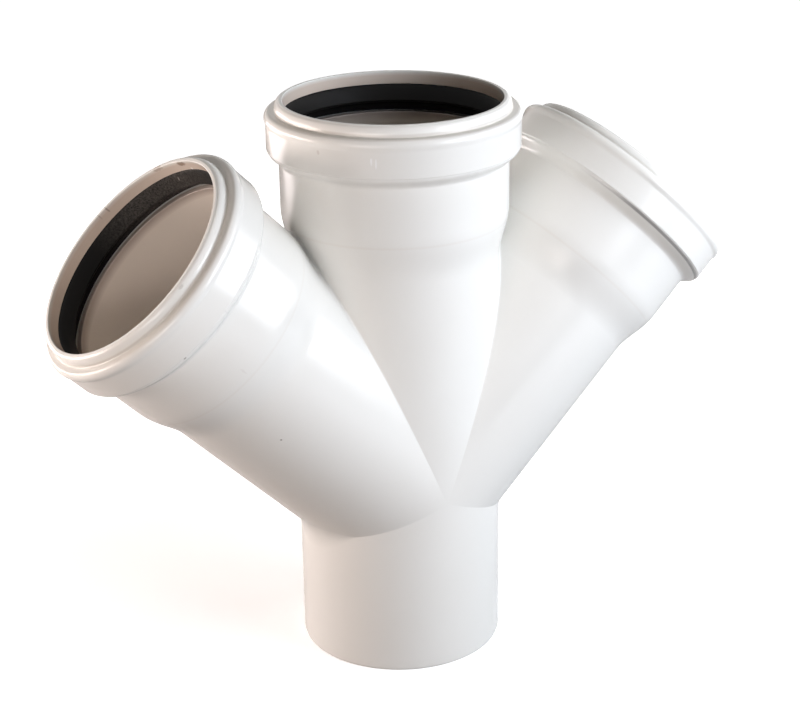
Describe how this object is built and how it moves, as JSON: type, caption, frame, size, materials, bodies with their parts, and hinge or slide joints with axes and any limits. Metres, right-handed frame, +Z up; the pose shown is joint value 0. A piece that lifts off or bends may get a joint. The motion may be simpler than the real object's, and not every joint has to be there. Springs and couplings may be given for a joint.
{
  "type": "double wye fitting",
  "caption": "White plastic drain fitting: a plain spigot opens into a straight run with a leg leaning out on either side, each ending in a push-fit socket with a black lip seal.",
  "frame": {"origin": "centre of the spigot's end face, which the fitting stands on", "axes": "+Z up the straight run, out of its socket; the side legs lean towards -X and +X at 45 degrees; +Y completes the right-handed set, so -Y is the side the picture shows"},
  "size_m": [0.3796, 0.1336, 0.3058],
  "materials": {
    "white_plastic": "moulded, high gloss",
    "black_rubber": "moulded, satin"
  },
  "bodies": {
    "root": {"fitting_body": "white_plastic", "left_seal": "black_rubber", "centre_seal": "black_rubber", "right_seal": "black_rubber"}
  },
  "joints": []
}
